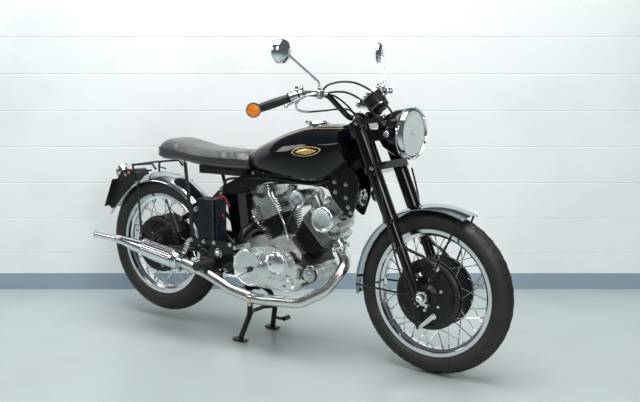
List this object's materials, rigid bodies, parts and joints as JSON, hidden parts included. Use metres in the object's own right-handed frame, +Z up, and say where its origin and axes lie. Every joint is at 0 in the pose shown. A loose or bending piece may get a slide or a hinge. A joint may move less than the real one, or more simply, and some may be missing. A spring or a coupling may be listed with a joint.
{
  "type": "classic vee-twin roadster motorcycle",
  "caption": "Road motorcycle with a vee-twin engine, wire wheels, a rounded tank and a long seat, parked on its centre stand.",
  "frame": {"origin": "on the floor, under the middle of the overall length and width", "axes": "+X forwards, +Y to the rider's left, +Z up"},
  "size_m": [2.1059, 0.8322, 1.3013],
  "materials": {
    "polished_alloy": "polished",
    "chrome": "mirror",
    "satin_black": "satin",
    "battery_plastic": "matte",
    "engine_alloy": "satin",
    "gloss_black": "gloss",
    "cable_black": "matte",
    "rubber": "matte",
    "polished_steel": "polished",
    "rim_alloy": "polished",
    "tyre": "matte",
    "glass": "clear",
    "amber": "gloss",
    "seat_leather": "satin",
    "tail_lens": "gloss"
  },
  "bodies": {
    "chassis": {"barrels": "satin_black", "battery": "battery_plastic", "carburettors": "engine_alloy", "chain_case": "gloss_black", "crankcase": "engine_alloy", "exhaust_pipes": "chrome", "filler_cap": "chrome", "foot_controls": "chrome", "footpegs": "rubber", "frame_spine": "gloss_black", "fuel_tank": "gloss_black", "head_plates": "gloss_black", "heads": "engine_alloy", "horns": "chrome", "number_plate": "satin_black", "rear_brake_plate": "satin_black", "rear_exhaust_pipe": "satin_black", "rear_fork": "gloss_black", "rear_guard_stays": "gloss_black", "rear_mudguard": "polished_steel", "right_cover": "polished_alloy", "seat": "seat_leather", "seat_frame": "satin_black", "side_plates": "gloss_black", "silencer": "chrome", "spring_units": "satin_black", "stand_bracket": "satin_black", "tail_lamp": "tail_lens"},
    "steering": {"bar_controls": "polished_alloy", "bar_indicators": "chrome", "control_cables": "cable_black", "fork_shrouds": "gloss_black", "fork_sliders": "gloss_black", "fork_yokes": "gloss_black", "front_brake_plates": "satin_black", "front_guard_stays": "gloss_black", "front_mudguard": "polished_steel", "grips": "rubber", "handlebar": "gloss_black", "headlight_lens": "glass", "headlight_rim": "chrome", "headlight_shell": "gloss_black", "indicator_lenses": "amber", "instruments": "satin_black", "mirrors": "chrome"},
    "front_wheel": {"front_hub_spokes": "satin_black", "front_rim": "rim_alloy", "front_tyre": "tyre"},
    "rear_wheel": {"rear_hub_spokes": "satin_black", "rear_rim": "rim_alloy", "rear_tyre": "tyre"},
    "centre_stand": {"centre_stand": "satin_black"}
  },
  "joints": [
    {"name": "steering", "type": "hinge", "parent": "chassis", "child": "steering", "pos_m": [0.4289, 0, 0.8498], "axis": [-0.3907, 0, 0.9205], "range_deg": [-30, 30]},
    {"name": "front_wheel", "type": "hinge", "parent": "steering", "child": "front_wheel", "pos_m": [0.728, 0, 0.325], "axis": [0, 1, 0], "continuous": true},
    {"name": "rear_wheel", "type": "hinge", "parent": "chassis", "child": "rear_wheel", "pos_m": [-0.706, 0, 0.365], "axis": [0, 1, 0], "continuous": true},
    {"name": "centre_stand", "type": "hinge", "parent": "chassis", "child": "centre_stand", "pos_m": [-0.189, 0, 0.215], "axis": [0, 1, 0], "range_deg": [0, 95]}
  ]
}
